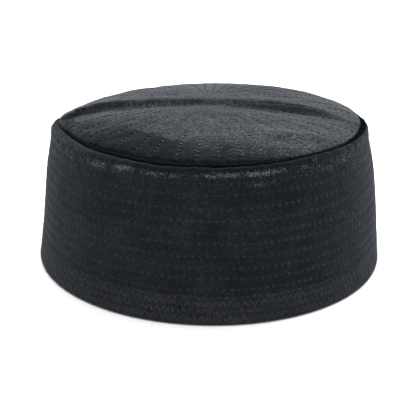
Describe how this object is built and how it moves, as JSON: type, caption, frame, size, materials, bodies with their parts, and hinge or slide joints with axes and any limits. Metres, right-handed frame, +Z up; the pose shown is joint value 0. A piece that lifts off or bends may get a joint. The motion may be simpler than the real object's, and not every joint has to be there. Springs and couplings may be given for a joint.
{
  "type": "kufi cap",
  "caption": "Round stiff-sided velvet kufi with a ribbed quilted band, a zigzag-sewn hem and a radially stitched, softly domed crown.",
  "frame": {"origin": "middle of the circle that the rim rests on, at the height of the table", "axes": "+Z up through the crown, -Y towards the front that the picture shows, +X to that view's right"},
  "size_m": [0.19, 0.19, 0.0848],
  "materials": {
    "band_velvet": "short black velvet pile, quilted in level rows",
    "hem_velvet": "black velvet flattened under dense zigzag stitching",
    "crown_velvet": "black velvet with grey sheen and radial stitching",
    "welt_velvet": "deep black velvet edge with a worn, fuzzy pile"
  },
  "bodies": {
    "root": {"side_band": "band_velvet", "sewn_hem": "hem_velvet", "crown_panel": "crown_velvet", "seam_welt": "welt_velvet"}
  },
  "joints": []
}
